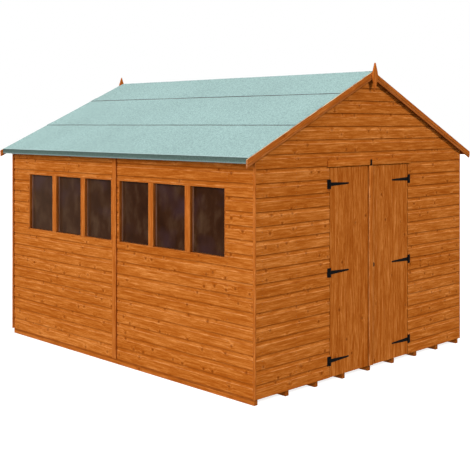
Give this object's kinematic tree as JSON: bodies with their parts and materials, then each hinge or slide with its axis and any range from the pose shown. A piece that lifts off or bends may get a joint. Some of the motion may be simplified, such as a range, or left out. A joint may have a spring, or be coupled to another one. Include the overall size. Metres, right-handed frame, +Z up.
{
  "type": "wooden garden shed",
  "caption": "Apex garden shed with boarded walls, felted pitched roof, a row of fixed side windows, double ledged doors on strap hinges and a joisted floor.",
  "frame": {"origin": "middle of the footprint, at ground level under the joists", "axes": "+X across the gables, to the right as one faces the doors; +Y along the ridge, away from the doors; +Z up"},
  "size_m": [3.286, 3.778, 2.8159],
  "materials": {
    "wall_boards": "dip-stained softwood boards, satin",
    "door_boards": "dip-stained softwood boards, satin",
    "trim_timber": "dip-stained planed softwood, satin",
    "roof_trim": "dip-stained planed softwood, satin",
    "joist_timber": "treated sawn softwood, matte",
    "bare_framing": "stained sawn softwood, matte",
    "mineral_felt": "mineral-faced roofing felt, matte",
    "window_glass": "clear glazing, glossy",
    "black_iron": "black powder coat, satin"
  },
  "bodies": {
    "root": {"floor_joists": "joist_timber", "floor_deck": "bare_framing", "front_wall_left": "wall_boards", "front_wall_right": "wall_boards", "front_wall_over_door": "wall_boards", "back_wall": "wall_boards", "left_wall_front": "wall_boards", "left_wall_back": "wall_boards", "right_wall_front": "wall_boards", "right_wall_back": "wall_boards", "gable_studs": "bare_framing", "gable_rails": "bare_framing", "side_wall_studs": "bare_framing", "side_wall_rails": "bare_framing", "corner_strips": "trim_timber", "panel_cover_strips": "trim_timber", "window_posts": "trim_timber", "window_rails": "trim_timber", "window_glass": "window_glass", "door_head_trim": "trim_timber", "turn_button_screw": "black_iron", "hinge_plates": "black_iron", "roof_boards_left": "bare_framing", "roof_boards_right": "bare_framing", "eaves_battens": "trim_timber", "purlins": "bare_framing", "truss_rafters": "bare_framing", "truss_tie": "bare_framing", "felt_lower": "mineral_felt", "felt_middle": "mineral_felt", "felt_ridge": "mineral_felt", "front_barge_boards": "roof_trim", "back_barge_boards": "roof_trim", "front_finial": "roof_trim", "back_finial": "roof_trim"},
    "left_door": {"left_door_boards": "door_boards", "left_door_ledges": "bare_framing", "left_hinge_straps": "black_iron"},
    "right_door": {"right_door_boards": "door_boards", "right_door_ledges": "bare_framing", "right_hinge_straps": "black_iron", "door_cover_strip": "trim_timber", "keyhole_plate": "black_iron", "door_lock": "black_iron"},
    "turn_button": {"turn_button": "black_iron"}
  },
  "joints": [
    {"name": "left_door_hinge", "type": "hinge", "parent": "root", "child": "left_door", "pos_m": [-0.584, -1.836, 0.964], "axis": [0, 0, -1], "range_deg": [0, 170]},
    {"name": "right_door_hinge", "type": "hinge", "parent": "root", "child": "right_door", "pos_m": [0.584, -1.836, 0.964], "axis": [0, 0, 1], "range_deg": [0, 170]},
    {"name": "turn_button_pivot", "type": "hinge", "parent": "root", "child": "turn_button", "pos_m": [-0.015, -1.8485, 1.8895], "axis": [0, -1, 0], "range_deg": [0, 180]}
  ]
}
